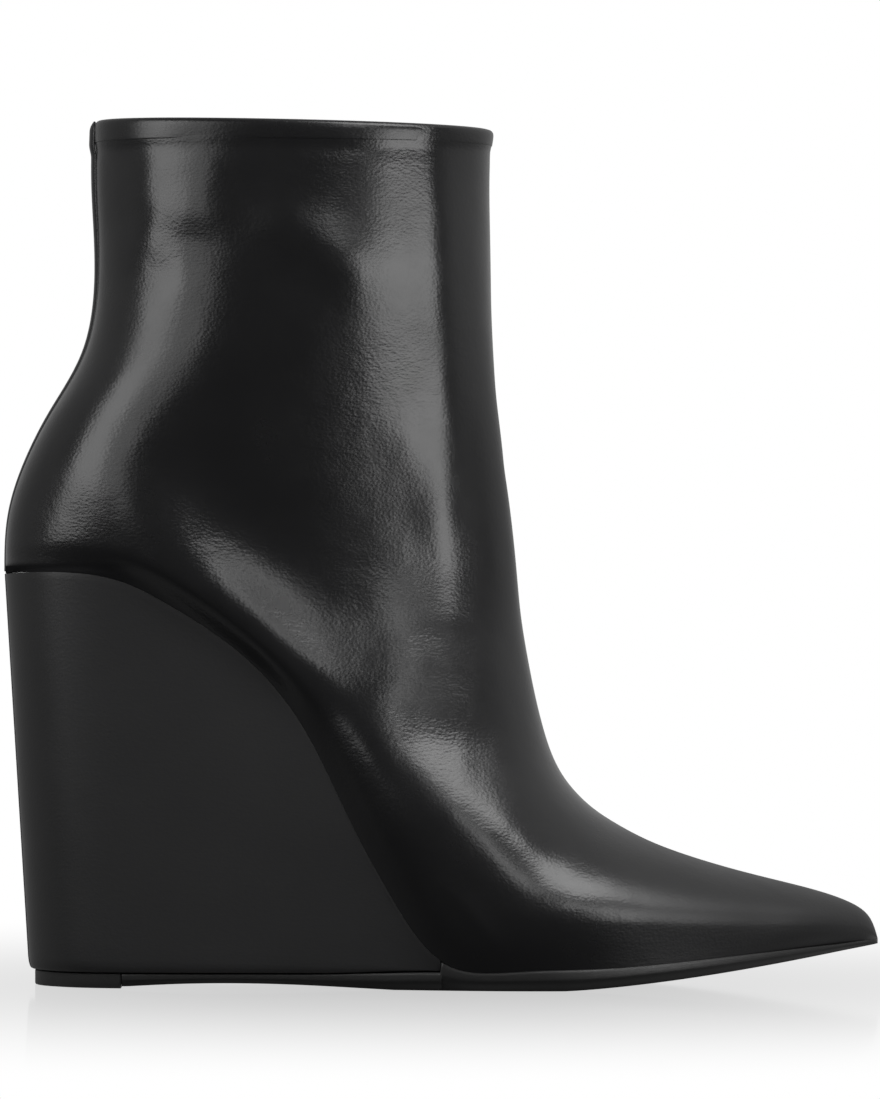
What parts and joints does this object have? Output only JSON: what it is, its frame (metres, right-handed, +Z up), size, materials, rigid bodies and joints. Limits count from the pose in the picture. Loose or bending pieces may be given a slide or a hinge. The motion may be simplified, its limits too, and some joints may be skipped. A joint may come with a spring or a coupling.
{
  "type": "wedge ankle boot",
  "caption": "Pointed ankle boot in smooth black leather with a high covered wedge heel, a seam up the back and a thin sole.",
  "frame": {"origin": "on the floor under the middle of the boot's bounding box, heel piece and forefoot standing on z = 0", "axes": "+X from heel to toe, +Y to the inner side of the right foot, +Z up the shaft"},
  "size_m": [0.2324, 0.0809, 0.2286],
  "materials": {
    "upper_leather": "smooth black leather with a fine grain and a soft gloss",
    "trim_leather": "smooth black leather, folded at the collar and rolled over the back seam",
    "wedge_leather": "smooth black leather stretched over the wedge, with an even dull gloss",
    "sole_rubber": "thin black sole, satin, with a fine texture underneath",
    "heel_rubber": "hard black rubber, matt",
    "lining": "thin black lining leather, matt"
  },
  "bodies": {
    "root": {"upper": "upper_leather", "collar_binding": "trim_leather", "back_seam": "trim_leather", "wedge": "wedge_leather", "outsole": "sole_rubber", "heel_top_piece": "heel_rubber", "insole": "lining"}
  },
  "joints": []
}
